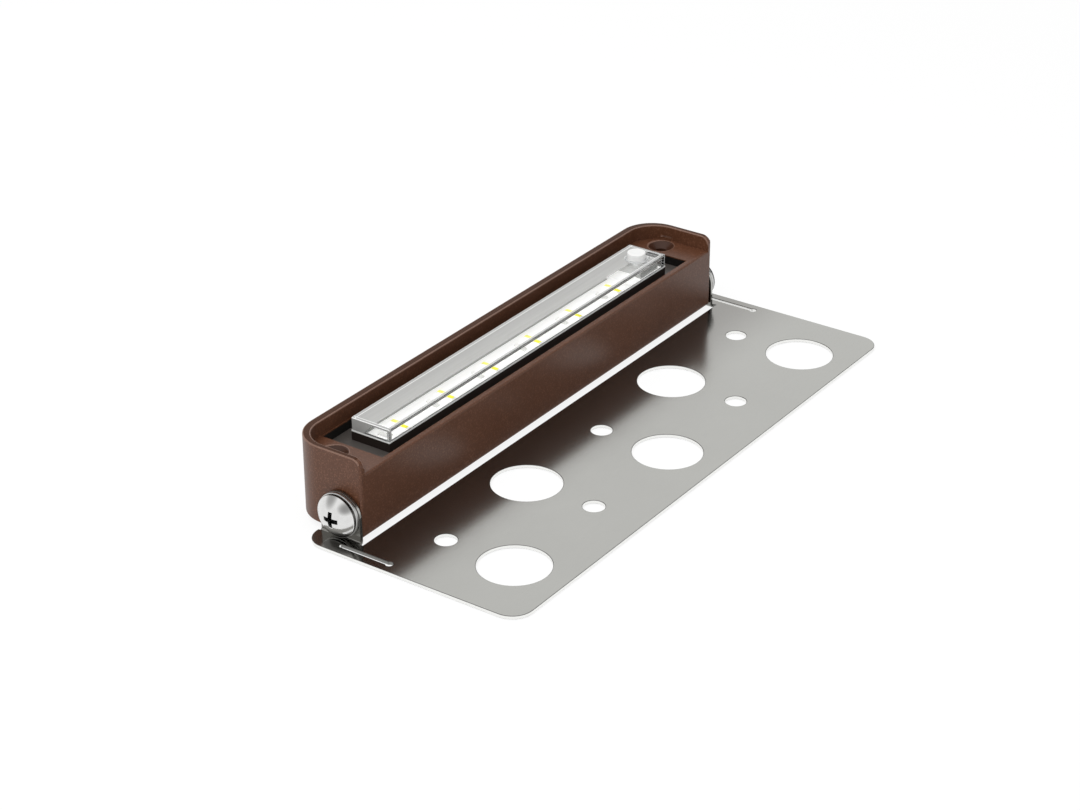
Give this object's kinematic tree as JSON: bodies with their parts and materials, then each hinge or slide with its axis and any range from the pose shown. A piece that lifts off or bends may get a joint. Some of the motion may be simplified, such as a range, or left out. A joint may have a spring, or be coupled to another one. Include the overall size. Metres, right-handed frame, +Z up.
{
  "type": "hardscape light",
  "caption": "Slim linear hardscape light: a brown cast head with a clear lens and a push button tilts between the ears of a perforated stainless mounting plate.",
  "frame": {"origin": "centre of the bounding box's footprint, on the underside of the mounting plate", "axes": "+X along the light towards the push button, -Y towards the free edge of the mounting plate, +Z up with the plate lying flat and the lens facing up"},
  "size_m": [0.1894, 0.081, 0.0265],
  "materials": {
    "stainless": "satin stainless sheet",
    "bronze_coat": "cast aluminium with a fine-textured bronze-brown powder coat",
    "screw_steel": "polished stainless",
    "black_plastic": "matt black",
    "potting_resin": "semi-gloss dark resin",
    "clear_lens": "clear, polished",
    "clear_rubber": "translucent",
    "black_rubber": "matt",
    "white_board": "white solder mask",
    "diode": "yellow phosphor",
    "ceramic": "plain",
    "white_plastic": "moulded",
    "green_board": "green solder mask",
    "copper": "plain"
  },
  "bodies": {
    "bracket": {"mounting_plate": "stainless"},
    "lamp": {"housing": "bronze_coat", "pivot_screw_left": "screw_steel", "pivot_screw_right": "screw_steel", "head_washer_left": "screw_steel", "head_washer_right": "screw_steel", "side_washer_left": "black_plastic", "side_washer_right": "black_plastic", "potting": "potting_resin", "lens_carrier": "black_plastic", "carrier_screws": "screw_steel", "lens_gasket": "black_rubber", "lens": "clear_lens", "led_board": "white_board", "leds": "diode", "led_resistors": "ceramic", "reflector": "white_plastic", "switch_board": "white_board", "switch_frame": "white_plastic", "tact_switch": "black_plastic", "button_seal": "clear_rubber", "driver_board": "green_board", "inductor": "black_plastic", "capacitor": "black_plastic", "rectifier": "black_plastic", "driver_chip": "black_plastic", "surge_absorber": "ceramic", "lead_wires": "copper", "cable_grommet": "black_rubber"},
    "button": {"push_button": "white_plastic"}
  },
  "joints": [
    {"name": "tilt", "type": "hinge", "parent": "bracket", "child": "lamp", "pos_m": [0, 0.02185, 0.0078], "axis": [1, 0, 0], "range_deg": [-90, 80]},
    {"name": "button_press", "type": "slide", "parent": "lamp", "child": "button", "axis": [0, 0, 1], "range_m": [-0.0005, 0], "stiffness_N_per_m": 3000}
  ]
}
